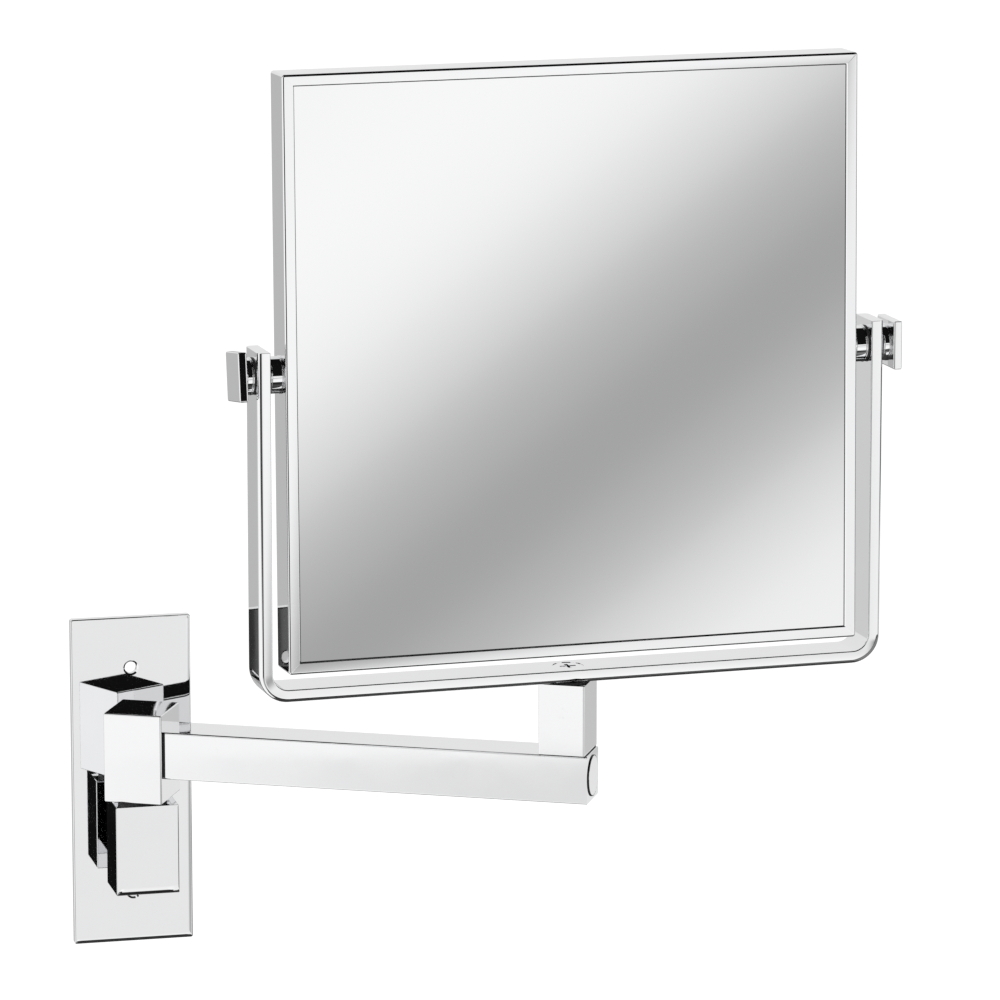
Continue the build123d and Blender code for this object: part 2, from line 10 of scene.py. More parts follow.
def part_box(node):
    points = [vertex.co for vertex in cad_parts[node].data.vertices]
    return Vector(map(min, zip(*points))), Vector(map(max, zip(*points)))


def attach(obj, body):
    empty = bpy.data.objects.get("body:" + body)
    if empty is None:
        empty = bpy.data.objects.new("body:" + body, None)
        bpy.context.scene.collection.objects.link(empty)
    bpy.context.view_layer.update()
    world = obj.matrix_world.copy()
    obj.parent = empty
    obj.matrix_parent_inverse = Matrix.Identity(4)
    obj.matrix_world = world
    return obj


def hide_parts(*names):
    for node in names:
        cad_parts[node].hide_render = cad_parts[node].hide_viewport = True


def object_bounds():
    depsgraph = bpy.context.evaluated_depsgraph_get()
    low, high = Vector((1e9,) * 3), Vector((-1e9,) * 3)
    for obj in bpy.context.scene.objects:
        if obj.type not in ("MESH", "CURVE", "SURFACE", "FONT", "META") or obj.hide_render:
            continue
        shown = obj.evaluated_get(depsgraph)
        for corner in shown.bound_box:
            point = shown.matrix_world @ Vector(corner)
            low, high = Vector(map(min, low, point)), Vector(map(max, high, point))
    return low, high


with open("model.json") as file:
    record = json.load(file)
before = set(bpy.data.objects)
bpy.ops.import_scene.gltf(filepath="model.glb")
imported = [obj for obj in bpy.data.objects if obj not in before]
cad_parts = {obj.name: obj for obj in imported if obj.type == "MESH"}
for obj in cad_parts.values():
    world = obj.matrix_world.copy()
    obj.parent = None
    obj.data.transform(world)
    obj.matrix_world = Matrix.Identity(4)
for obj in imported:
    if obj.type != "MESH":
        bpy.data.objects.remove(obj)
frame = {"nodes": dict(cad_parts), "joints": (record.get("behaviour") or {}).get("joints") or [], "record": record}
cad_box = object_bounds()
mm = 0.001

# ---------------------------------------------------------------- driving values
camera_place = (-0.37099, -2.07958, 0.52322)
camera_yaw = 13.61            # degrees from +Y towards +X
camera_pitch = -11.38         # degrees above the horizon
camera_lens = 224.0           # mm
camera_sensor = 36.0          # mm across
camera_reach = 50.0
floor_drop = 0.30             # floor below the lowest piece
floor_size = 20.0
floor_paint = (0.8, 0.8, 0.8, 1)
floor_glow = 0.45             # light of its own that the camera sees
lamp_place = (-1.2, -1.6, 2.2)
lamp_aim = (0.1, -0.06, 0.1)
lamp_power = 20.0
lamp_size = 1.2

sharp_angle = 32.0            # degrees, above which an edge stays crisp
merge_gap = 2e-6              # between points that become one
flat_angle = 0.05             # degrees, below which neighbouring triangles make one face
overshoot = 1.0 * mm          # of a cutting shape past the surface
overlap = 0.02 * mm           # of a dark strip of painted shade with its neighbour
least_corner = 0.05 * mm
round_steps = 6               # in the quarter turn of an edge
small_round_steps = 2
corner_steps = 5              # in the quarter turn of a ring's corner
hole_sides = 48
small_hole_sides = 40
well_sides = 64
turned_sides = 96

plate_round = 0.4 * mm        # of the wall plate's front edge
plate_corner = 0.8 * mm
plate_rolls = {"right": 0.03 * mm, "top": 0.0, "left": 0.015 * mm, "bottom": 0.30 * mm}
plate_roll_width = 1.6 * mm   # over which its face falls away by these at its sides
plate_roll_steps = 12
plate_face_corner = 0.4 * mm  # of the rings on its face, at the edge
plate_corner_growth = 1.2 * mm    # of their corners over the roll's width
screw_hole_radius = 2.1 * mm
screw_hole_spacing = 80.0 * mm
screw_hole_chamfer = 0.6 * mm

block_back = -13.0 * mm       # of the bracket block, where its neck starts
block_round = 0.3 * mm        # of its back edges
block_round_steps = 5
block_back_corner = 0.1       # of its outermost back ring, as a share of the round
block_edge_corner = block_round + 0.1 * mm
block_edges = {"right": 0.5 * mm, "top": 0.12 * mm, "left": 0.2 * mm, "bottom": 0.55 * mm}
block_falls = {"right": 0.0, "top": 0.0, "left": 0.0, "bottom": 0.36 * mm}
block_face_corner = 2.6 * mm  # of its front face at the lower right
block_front_steps = 24
block_corner_growth = 0.4     # of the front rings' corners, for each length inwards
block_corner_room = 0.8 * mm  # left between a front ring's corner and its middle
block_middle = 1.6 * mm       # half width of the last front ring, with the edges taken off
fall_reach = 3.5 * mm         # in from the edges, over which its front falls away
fall_power = 3.0
neck_width = 14.0 * mm
neck_height = 20.0 * mm
bush_seat_radius = 5.6 * mm
bolt_well_radius = 7.5 * mm
bolt_well_depth = 12.4 * mm
neck_screw_spacing = 11.0 * mm
neck_screw_radius = 2.05 * mm
neck_screw_mouth = 4.05 * mm
neck_screw_length = 11.5 * mm

arm_turn = -27.5              # degrees at rest, from the wall's direction
plug_radius = 7.05 * mm
plug_proud = 0.4 * mm
plug_head_radius = 6.82 * mm
plug_round = 0.06 * mm
plug_shade_strip_top = 0.05 * mm     # below the plug's end
seam_height = 0.42 * mm       # of the black strip of painted shade under the post
seam_depth = 0.5 * mm
seam_inset = 0.15 * mm
seam_corner = 0.3 * mm

bar_width = 4.4 * mm          # yoke
bar_corner = 10.0 * mm        # outside the bend
bar_bend_steps = 14
bar_round = 1.7 * mm          # of its outer edges
bar_inner_round = 0.35 * mm
bar_round_steps = 8
bar_slope = 0.16 * mm         # by which its front falls away from inside to outside
bar_end_round = 0.18 * mm
bar_end_reach = 0.01 * mm     # below its ends, within which their edges are found
bore_length = 1.0             # of the drill through both its arms
seat_radius = 5.3 * mm        # of the countersunk screw in the yoke
tilt_hole_radius = 3.55 * mm

lip_width = 4.0 * mm          # head frame
lip_thickness = 0.8 * mm
lip_bevel = 0.36 * mm         # of its inner edge, across
lip_bevel_depth = 0.45 * mm
lip_leans = {"right": 1.8, "top": 0.0, "left": 0.4, "bottom": 0.3}    # degrees, outwards
frame_wall = 1.5 * mm
frame_corner = 1.0 * mm
frame_least_corner = 0.02 * mm
frame_round = 0.8 * mm
rod_reach = 0.2               # of the drill through both its sides
head_lean = -1.2              # degrees at rest
dish_margin = 10.3 * mm       # from the rear glass's edge to its magnifying dish
dish_depth = 2.2 * mm
dish_line = 0.3 * mm          # half width of the fine line round it
dish_line_depth = 0.12 * mm
dish_sides = 128
dish_rings = 40
dish_pole = 0.01 * mm         # radius of its innermost ring
rear_thickness = 2.5 * mm
# width across and up of the dark strip of painted shade round the front glass, at its corners
shade_strip_widths = {("left", "top"): (0.13 * mm, 0.02 * mm), ("right", "top"): (0.08 * mm, 0.12 * mm),
               ("right", "bottom"): (0.06 * mm, 0.04 * mm),
               ("left", "bottom"): (0.26 * mm, 0.14 * mm)}
shade_strip_face = 0.6               # share of the width that its face keeps
shade_strip_sunk = 0.42 * mm         # below the lip's front

collar_radius = 6.2 * mm
collar_bore = 2.3 * mm
collar_round = 0.2 * mm
collar_round_steps = 4
flange_length = 0.55 * mm
flange_radius = 6.35 * mm
flange_round = 0.18 * mm

knob_corners = {"left": 0.5 * mm, "right": 0.25 * mm}
knob_outer_round = 0.5 * mm
knob_inner_round = 0.6 * mm
knob_turns = {"left": -8.0, "right": 0.0}    # degrees at rest
stud_hole_radius = 2.05 * mm
stud_hole_depth = 1.6 * mm


# ---------------------------------------------------------------- node trees
class Tree:
    """Short calls that fill one node tree."""

    def __init__(self, tree):
        self.tree = tree
        tree.nodes.clear()

    def add(self, kind, inputs=None, **settings):
        node = self.tree.nodes.new(kind)
        for key, value in settings.items():
            setattr(node, key, value)
        for key, value in (inputs or {}).items():
            if isinstance(value, bpy.types.NodeSocket):
                self.tree.links.new(value, node.inputs[key])
            else:
                node.inputs[key].default_value = value
        return node

    def math(self, operation, *values):
        inputs = dict(enumerate(values))
        return self.add("ShaderNodeMath", inputs, operation=operation).outputs[0]

    def mix(self, factor, low, high):
        inputs = {0: factor, 2: low, 3: high}
        return self.add("ShaderNodeMix", inputs, data_type="FLOAT").outputs[0]

    def blend(self, factor, low, high):
        """Colour between low and high, each a colour or a socket."""
        low, high = (end if isinstance(end, bpy.types.NodeSocket) else (*end, 1)
                     for end in (low, high))
        inputs = {0: factor, 6: low, 7: high}
        return self.add("ShaderNodeMix", inputs, data_type="RGBA").outputs[2]

    def step(self, value, start, end, low=0.0, high=1.0):
        """Smooth rise from low at start to high at end."""
        inputs = {"Value": value, "From Min": start, "From Max": end, "To Min": low, "To Max": high}
        return self.add("ShaderNodeMapRange", inputs, interpolation_type="SMOOTHSTEP").outputs[0]

    def window(self, value, start, full, fade, end):
        """Smooth rise to one between start and full, and back to nought from fade to end."""
        return self.math("MULTIPLY", self.step(value, start, full), self.step(value, end, fade))


# ---------------------------------------------------------------- studio, seen only by what shines
shine = 0.90                  # light that the chrome and the glass give back
room_tone = 0.06
room_light = 0.75             # that falls on what doesn't shine
camera_light = 1.0            # that the camera sees behind the piece
# name: azimuth, elevation, half width, half height, soft edge across, soft edge up, tone; degrees
cards = {
    "floor_below": (0, -90, 180, 46, 1, 14, 0.22),
    "right_gap": (104, -6, 27, 7, 6, 2, 0.3),
    "left_gap_far": (-22, -12.5, 7, 4.5, 2, 2, 0.37),
    "left_gap": (-14.4, -12.5, 4, 4.5, 0.1, 2, 0.19),
    "backdrop": (185, 17, 55, 37, 8, 6, 0.88),
    "back_wall_right": (145, -6.5, 17, 7.23, 4, 0.06, 0.75),
    "back_wall": (180, -10, 21, 11, 4, 4, 0.71),
    "back_wall_left": (222, -10, 21, 11, 4, 4, 0.79),
    "right_table": (112.5, -16.2, 17.5, 4.7, 4, 1, 0.87),
    "right_wall": (56, 7, 24, 8, 4, 2, 0.96),
    "left_wall": (-62, 18, 29, 19, 6, 4, 0.93),
    "left_table": (-78.5, -43.5, 45.5, 31.5, 6, 2, 0.97),
    "left_table_end": (-37, -29, 6.5, 15.27, 5, 0.06, 0.87),
    "left_panel": (-87, -5, 37, 8, 3, 2, 0.97),
    "left_floor": (-16, -26, 18, 9, 4, 4, 0.62),
    "right_floor": (78, -38, 44, 21, 14, 10, 0.5),
    "front_table": (14, -17, 15, 18, 5, 2, 0.985),
    "front_table_near": (4, -28, 8, 9, 4, 4, 0.93),
    "front_table_middle": (8, -14, 11, 8, 8, 6, 0.905),
    "right_panel": (51, -7, 29, 7, 8, 1, 0.94),
}
# the soft shadow line across the glass: signed degrees from its middle, tone
band_tones = [(-4.0, 0.96), (-2.67, 0.955), (-2.2, 0.93), (-1.93, 0.90), (-1.38, 0.82),
              (-1.08, 0.76), (-0.6, 0.69), (0.0, 0.64), (0.6, 0.69), (1.08, 0.76), (1.38, 0.82),
              (1.93, 0.895), (2.2, 0.92), (2.67, 0.935), (4.0, 0.935)]
band_reach = 4.0
band_place = (20.6, -9.0)     # azimuth and elevation near its middle
band_across = (0.62, -0.79)   # direction across it
band_offset = -0.18
band_azimuths = (11.5, 13.5, 26.0, 30.0)      # where it starts, is full, fades and ends
band_elevations = (-19.0, -16.0, 0.0, 1.5)


def linear(tone):
    """Light level that shows as this tone once the metal has taken its share."""
    return (((tone + 0.055) / 1.055) ** 2.4 if tone > 0.04 else tone / 12.92) / shine


def band_light(t, azimuth, elevation):
    """Light of the shadow line in this direction."""
    across = [t.math("MULTIPLY", t.math("SUBTRACT", angle, middle), share)
              for angle, middle, share in zip((azimuth, elevation), band_place, band_across)]
    away = t.math("ADD", t.math("ADD", *across), band_offset + band_reach)
    place = t.math("DIVIDE", away, 2 * band_reach)
    curve = t.add("ShaderNodeFloatCurve", {1: place})
    mapping = curve.mapping
    points = mapping.curves[0].points
    while len(points) < len(band_tones):
        points.new(0.5, 0.5)
    for point, (offset, tone) in zip(points, band_tones):
        point.location = ((offset + band_reach) / (2 * band_reach), linear(tone) / 2)
    mapping.update()
    return t.math("MULTIPLY", curve.outputs[0], 2.0)


def make_world():
    world = bpy.data.worlds.new("studio")
    bpy.context.scene.world = world
    world.use_nodes = True
    t = Tree(world.node_tree)
    direction = t.add("ShaderNodeTexCoord").outputs["Generated"]
    part = t.add("ShaderNodeSeparateXYZ", {0: direction}).outputs
    towards_wall = t.math("MULTIPLY", part[1], -1.0)
    azimuth = t.math("DEGREES", t.math("ARCTAN2", part[0], towards_wall))
    elevation = t.math("DEGREES", t.math("ARCSINE", part[2]))
    light = linear(room_tone)
    for az, el, half_az, half_el, soft_az, soft_el, tone in cards.values():
        across = t.math("WRAP", t.math("SUBTRACT", azimuth, az), 180.0, -180.0)
        across = t.math("ABSOLUTE", across)
        across = t.step(across, half_az + soft_az / 2, half_az - soft_az / 2)
        up = t.math("ABSOLUTE", t.math("SUBTRACT", elevation, el))
        up = t.step(up, half_el + soft_el / 2, half_el - soft_el / 2)
        light = t.mix(t.math("MULTIPLY", across, up), light, linear(tone))
    inside = t.math("MULTIPLY", t.window(azimuth, *band_azimuths),
                    t.window(elevation, *band_elevations))
    light = t.mix(inside, light, band_light(t, azimuth, elevation))
    rays = t.add("ShaderNodeLightPath").outputs
    seen = t.mix(rays["Is Glossy Ray"], room_light, light)
    seen = t.mix(rays["Is Camera Ray"], seen, camera_light)
    sky = t.add("ShaderNodeBackground", {"Color": seen, "Strength": 1.0})
    t.add("ShaderNodeOutputWorld", {"Surface": sky.outputs[0]})


# ---------------------------------------------------------------- finishes
def new_material(name):
    material = bpy.data.materials.new(name)
    material.use_nodes = True
    return material, Tree(material.node_tree)


def own_place(t):
    """Place on the piece, in its own coordinates."""
    return t.add("ShaderNodeTexCoord").outputs["Object"]


def finish_material(t, shader):
    t.add("ShaderNodeOutputMaterial", {"Surface": shader.outputs[0]})


def coat(t, metallic, colour, rough, bump=None):
    """Surface with this colour and roughness; bump is its height, strength and distance."""
    inputs = {"Base Color": colour, "Metallic": metallic, "Roughness": rough}
    if bump:
        relief = dict(zip(("Height", "Strength", "Distance"), bump))
        inputs["Normal"] = t.add("ShaderNodeBump", relief).outputs[0]
    finish_material(t, t.add("ShaderNodeBsdfPrincipled", inputs))


def noise(t, place, scale, detail=2.0, stretch=None):
    """Noise over the piece's own place, drawn out where stretch is given."""
    if stretch:
        place = t.add("ShaderNodeMapping", {"Vector": place, "Scale": stretch}).outputs[0]
    inputs = {"Vector": place, "Scale": scale, "Detail": detail}
    return t.add("ShaderNodeTexNoise", inputs).outputs[0]


def specks(t, place, scale, size):
    """One inside small spots in about a quarter of the cells, else nought."""
    inputs = {"Vector": place, "Scale": scale, "Randomness": 1.0}
    cells = t.add("ShaderNodeTexVoronoi", inputs)
    lot = t.add("ShaderNodeSeparateColor", {0: cells.outputs["Color"]}).outputs[0]
    spot = t.step(cells.outputs["Distance"], size, size * 0.5)
    return t.math("MULTIPLY", spot, t.step(lot, 0.72, 0.78))


def chrome():
    """Plated metal: a faint cloud in the plating, hairlines from wiping and dried drops."""
    material, t = new_material("polished_chrome")
    place = own_place(t)
    cloud = noise(t, place, 60.0, 4.0)
    hairlines = t.step(noise(t, place, 1.0, 3.0, (90, 1900, 1900)), 0.62, 0.74)
    hairlines = t.math("MULTIPLY", hairlines, t.step(noise(t, place, 45.0), 0.45, 0.65))
    drops = specks(t, place, 260.0, 0.16)
    colour = t.blend(cloud, (0.872, 0.876, 0.884), (0.905, 0.906, 0.912))
    colour = t.blend(t.math("MULTIPLY", drops, 0.12), colour, (0.80, 0.82, 0.83))
    rough = t.step(cloud, 0.3, 0.7, 0.018, 0.038)
    rough = t.math("ADD", rough, t.math("MULTIPLY", hairlines, 0.03))
    rough = t.math("ADD", rough, t.math("MULTIPLY", drops, 0.02))
    relief = t.math("ADD", noise(t, place, 320.0, 1.0), t.math("MULTIPLY", hairlines, -0.3))
    coat(t, 1.0, colour, rough, (relief, 0.08, 0.000003))
    return material


def mirror_glass():
    """Silvered glass with faint wiping streaks and dust."""
    material, t = new_material("silvered_glass")
    place = own_place(t)
    cloud = noise(t, place, 20.0)
    streaks = t.step(noise(t, place, 1.0, 4.0, (30, 30, 260)), 0.4, 0.75)
    dust = specks(t, place, 420.0, 0.09)
    colour = t.blend(cloud, (0.897, 0.905, 0.901), (0.905, 0.91, 0.908))
    colour = t.blend(t.math("MULTIPLY", dust, 0.12), colour, (0.84, 0.84, 0.83))
    coat(t, 1.0, colour, t.math("MULTIPLY", t.math("ADD", streaks, dust), 0.004))
    return material


def machined(name, low, high, rough, turning):
    """Turned metal: fine tool marks, a cloud of handling and a few dark specks."""
    material, t = new_material(name)
    place = own_place(t)
    cloud = noise(t, place, 120.0, 5.0)
    inputs = {"Vector": place, "Scale": turning, "Distortion": 1.5, "Detail": 2.0}
    tool_marks = t.add("ShaderNodeTexWave", inputs, wave_type="RINGS",
                       rings_direction="SPHERICAL").outputs[1]
    spots = specks(t, place, 900.0, 0.2)
    colour = t.blend(t.mix(0.3, cloud, tool_marks), low, high)
    colour = t.blend(t.math("MULTIPLY", spots, 0.4), colour, (0.12, 0.11, 0.10))
    coat(t, 1.0, colour, t.step(cloud, 0.3, 0.7, rough, rough + 0.14), (tool_marks, 0.25, 0.00002))
    return material


def moulded(name, low, high, rough, grain_scale, pores=0.0):
    """Plastic or foam: fine grain, a soft cloud and, in foam, open pores."""
    material, t = new_material(name)
    place = own_place(t)
    grain, cloud = noise(t, place, grain_scale, 6.0), noise(t, place, 90.0, 3.0)
    colour = t.blend(t.mix(0.45, grain, cloud), low, high)
    # near-black pores: painted shade inside them, beside their dip in the relief
    holes = t.math("MULTIPLY", specks(t, place, grain_scale * 0.9, 0.35), pores)
    colour = t.blend(holes, colour, (0.004, 0.004, 0.004))
    height = t.math("SUBTRACT", grain, holes)
    coat(t, 0.0, colour, t.step(cloud, 0.3, 0.7, rough, rough + 0.12), (height, 0.35, 0.00006))
    return material


finish = {
    "chrome": chrome(),
    "mirror": mirror_glass(),
    "nylon": moulded("black_nylon", (0.012, 0.012, 0.013), (0.03, 0.03, 0.032), 0.42, 900.0),
    "steel": machined("zinc_steel", (0.45, 0.46, 0.48), (0.62, 0.63, 0.64), 0.24, 1400.0),
    "brass": machined("turned_brass", (0.70, 0.52, 0.22), (0.82, 0.64, 0.33), 0.22, 1700.0),
    "foam": moulded("foam_tape", (0.03, 0.03, 0.03), (0.10, 0.10, 0.10), 0.82, 1500.0, 0.8),
    "tray_plastic": moulded("tray_plastic", (0.62, 0.62, 0.60), (0.72, 0.72, 0.70), 0.42, 500.0),
}

# ---------------------------------------------------------------- where things are
joints = {joint["name"]: joint for joint in frame["joints"]}
body_of = {node: body for body, nodes in frame["record"]["behaviour"]["bodies"].items()
           for node in nodes}
slot_of = {part["node"]: part["material_slot"] for part in frame["record"]["subparts"]}


def tilted(lean):
    """Frame on the tilt axis, with its X along it, leant about it by so many degrees."""
    joint = joints["head_tilt"]
    across, up = Vector(joint["axis"]), Vector((0, 0, 1))
    turn = Matrix((across, up.cross(across), up)).transposed().to_4x4()
    return Matrix.Translation(joint["pos_m"]) @ turn @ Matrix.Rotation(radians(lean), 4, "X")


def own_box(node, place):
    """Lowest and highest corner of a CAD node in that frame."""
    inverse = place.inverted()
    points = [inverse @ vertex.co for vertex in frame["nodes"][node].data.vertices]
    return [Vector([pick(point[i] for point in points) for i in range(3)])
            for pick in (min, max)]


tilt_place = tilted(0.0)
head_place = tilted(head_lean)
arm_place = Matrix.Translation(Vector(joints["arm_swing"]["pos_m"]) * Vector((1, 1, 0)))
arm_place = arm_place @ Matrix.Rotation(radians(arm_turn), 4, "Z")


# ---------------------------------------------------------------- rings of points
def quarter(steps):
    """Angles of a quarter turn, in this many steps."""
    return [radians(90 * step / steps) for step in range(steps + 1)]


def rounded(half_x, half_z, corner_radius, y, steps=corner_steps):
    """Ring of points round a rectangle with rounded corners, at depth y.

    It takes one radius, or one for each corner: upper right, upper left, lower left, lower right.
    """
    radii = corner_radius if isinstance(corner_radius, tuple) else (corner_radius,) * 4
    ring = []
    for corner in range(4):
        side_x, side_z = ((1, 1), (-1, 1), (-1, -1), (1, -1))[corner]
        radius = radii[corner]
        for step in range(steps + 1):
            angle = radians(90 * corner + 90 * step / steps)
            ring.append((side_x * (half_x - radius) + radius * cos(angle), y,
                         side_z * (half_z - radius) + radius * sin(angle)))
    return ring


def ring_angles(ring):
    """Angle of each point's own direction outwards, round a ring made by rounded."""
    count = len(ring) // 4
    return [radians(90 * (i // count) + 90 * (i % count) / (count - 1)) for i in range(len(ring))]


def shared(values, angle):
    """Value of the side that faces this angle, blended over the corners."""
    across = values["right" if cos(angle) > 0 else "left"] * cos(angle) ** 2
    return across + values["top" if sin(angle) > 0 else "bottom"] * sin(angle) ** 2


def sided_ring(half_x, half_z, corner, y, inset, set_back):
    """Rounded rectangle drawn in by its inset and set back side by side.

    The inset is one length or one for each side.
    """
    insets = inset if isinstance(inset, dict) else dict.fromkeys(set_back, inset)
    ring = rounded(half_x, half_z, corner, y)
    return [(x - insets["right"] if x > 0 else x + insets["left"], y + shared(set_back, angle),
             z - insets["top"] if z > 0 else z + insets["bottom"])
            for (x, y, z), angle in zip(ring, ring_angles(ring))]


def square_ring(half_x, half_z, y, steps):
    """Ring round a rectangle, its points in the directions of a circle's."""
    ring = []
    for x, z, _ in circle(1.0, 0.0, steps):
        reach = max(abs(x), abs(z))
        ring.append((half_x * x / reach, y, half_z * z / reach))
    return ring


def circle(radius, height, steps):
    return [(radius * cos(2 * pi * i / steps), radius * sin(2 * pi * i / steps), height)
            for i in range(steps)]


# ---------------------------------------------------------------- making meshes
def linked(name, data):
    thing = bpy.data.objects.new(name, data)
    bpy.context.scene.collection.objects.link(thing)
    return thing


def evaluated(thing):
    """Thing's mesh with its modifiers applied; the thing itself goes."""
    graph = bpy.context.evaluated_depsgraph_get()
    mesh = bpy.data.meshes.new_from_object(thing.evaluated_get(graph), depsgraph=graph)
    bpy.data.objects.remove(thing)
    return mesh


def to_mesh(work, name):
    bmesh.ops.remove_doubles(work, verts=work.verts, dist=merge_gap)
    bmesh.ops.recalc_face_normals(work, faces=work.faces)
    mesh = bpy.data.meshes.new(name)
    work.to_mesh(mesh)
    work.free()
    return mesh


def loft(name, rings, closed=False):
    """Skin over rings of equal length.

    Closed joins the last ring to the first one, else both ends are capped.
    """
    work = bmesh.new()
    loops = [[work.verts.new(point) for point in ring] for ring in rings]
    pairs = list(zip(loops, loops[1:])) + ([(loops[-1], loops[0])] if closed else [])
    for low, high in pairs:
        for i in range(len(low)):
            j = (i + 1) % len(low)
            work.faces.new((low[i], low[j], high[j], high[i]))
    if not closed:
        work.faces.new(loops[0])
        work.faces.new(loops[-1])
    return to_mesh(work, name)


def turned(name, outline, place, steps):
    """Solid turned about its place's Z axis, from (radius, height) pairs."""
    mesh = loft(name, [circle(radius, height, steps) for radius, height in outline])
    mesh.transform(place)
    return mesh


def combined(mesh, tool, operation):
    """Mesh with the tool's shape taken away or added."""
    whole, other = linked("whole", mesh), linked("tool", tool)
    modifier = whole.modifiers.new("join", "BOOLEAN")
    modifier.operation, modifier.solver, modifier.object = operation, "EXACT", other
    result = evaluated(whole)
    bpy.data.objects.remove(other)
    return result


def cut(mesh, *tools):
    for tool in tools:
        mesh = combined(mesh, tool, "DIFFERENCE")
    return mesh


def joined(name, *meshes):
    work = bmesh.new()
    for mesh in meshes:
        work.from_mesh(mesh)
    return to_mesh(work, name)


def box_mesh(name, half_x, half_z, front, back):
    return loft(name, [rounded(half_x, half_z, least_corner, y, 1) for y in (back, front)])


def eased(mesh, radius, picked):
    """Mesh with a small round on the edges that picked chooses."""
    work = bmesh.new()
    work.from_mesh(mesh)
    edges = [edge for edge in work.edges if picked(edge)]
    bmesh.ops.bevel(work, geom=edges, offset=radius, offset_type="OFFSET",
                    segments=small_round_steps, profile=0.5, affect="EDGES", clamp_overlap=True)
    work.to_mesh(mesh)
    work.free()
    return mesh


def cleaned(mesh):
    """Mesh with the triangles of each flat face joined."""
    work = bmesh.new()
    work.from_mesh(mesh)
    bmesh.ops.remove_doubles(work, verts=work.verts, dist=merge_gap)
    bmesh.ops.dissolve_limit(work, angle_limit=radians(flat_angle), verts=work.verts,
                             edges=work.edges, use_dissolve_boundaries=False)
    for face in work.faces:
        face.material_index = 0
        face.smooth = True
    work.to_mesh(mesh)
    work.free()
    return mesh


def dressed(mesh, name, *nodes, place=None, body=None, slot=None):
    """Finished piece that stands for these nodes: flat faces shine flat and rounds stay smooth."""
    if place:
        mesh.transform(place)
    body = body or body_of[nodes[0]]
    slot = slot or slot_of[nodes[0]]
    mesh.materials.clear()
    mesh.materials.append(finish[slot])
    mesh.polygons.foreach_set("use_smooth", [True] * len(mesh.polygons))
    mesh.polygons.foreach_set("material_index", [0] * len(mesh.polygons))
    mesh.set_sharp_from_angle(angle=radians(sharp_angle))
    raw = linked(name + "_raw", mesh)
    weighted = raw.modifiers.new("weighted", "WEIGHTED_NORMAL")
    weighted.mode = "FACE_AREA"
    weighted.weight = 100
    weighted.keep_sharp = True
    piece = linked(name, evaluated(raw))
    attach(piece, body)
    if nodes:
        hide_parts(*nodes)


def polished(node):
    """Node's own shape with its triangles joined, so that it shines like one surface."""
    dressed(cleaned(frame["nodes"][node].data.copy()), node + "_polished", node)


# ---------------------------------------------------------------- geometry nodes
def geometry_tree(name, **inputs):
    """Tree with a geometry input, these named inputs and a geometry output."""
    group = bpy.data.node_groups.new(name, "GeometryNodeTree")
    kinds = {"Geometry": "Geometry", **inputs}
    for label, kind in kinds.items():
        group.interface.new_socket(label, in_out="INPUT", socket_type="NodeSocket" + kind)
    group.interface.new_socket("Geometry", in_out="OUTPUT", socket_type="NodeSocketGeometry")
    t = Tree(group)
    return group, t, t.add("NodeGroupInput").outputs


def end_tree(t, geometry, material):
    solid = t.add("GeometryNodeRealizeInstances", {0: geometry})
    inputs = {"Geometry": solid.outputs[0], "Material": material}
    solid = t.add("GeometryNodeSetMaterial", inputs)
    t.add("NodeGroupOutput", {0: solid.outputs[0]})


def grown(name, group, data, **values):
    """Mesh that the tree makes from data with these values in its named inputs."""
    holder = linked(name, data)
    modifier = holder.modifiers.new("shape", "NODES")
    modifier.node_group = group
    for item in group.interface.items_tree:
        if item.in_out == "INPUT" and item.name in values:
            modifier[item.identifier] = values[item.name]
    return evaluated(holder)


def path(name, points):
    curve = bpy.data.curves.new(name, "CURVE")
    curve.dimensions = "3D"
    spline = curve.splines.new("POLY")
    spline.points.add(len(points) - 1)
    for point, place in zip(spline.points, points):
        point.co = (*place, 1.0)
    return curve


def marks(name, points):
    mesh = bpy.data.meshes.new(name)
    mesh.from_pydata(points, [], [])
    return mesh


def fillet(t, curve, count, radius):
    inputs = {"Curve": curve, "Count": count, "Radius": radius}
    return t.add("GeometryNodeFilletCurve", inputs, mode="POLY").outputs[0]


def swept(t, line, section, **inputs):
    inputs = {"Curve": line, "Profile Curve": section, **inputs}
    return t.add("GeometryNodeCurveToMesh", inputs).outputs[0]


def moved(t, geometry, **inputs):
    return t.add("GeometryNodeTransform", {"Geometry": geometry, **inputs}).outputs[0]


def drill(t, sides, radius, depth):
    inputs = {"Vertices": sides, "Radius": radius, "Depth": depth}
    return t.add("GeometryNodeMeshCylinder", inputs).outputs[0]


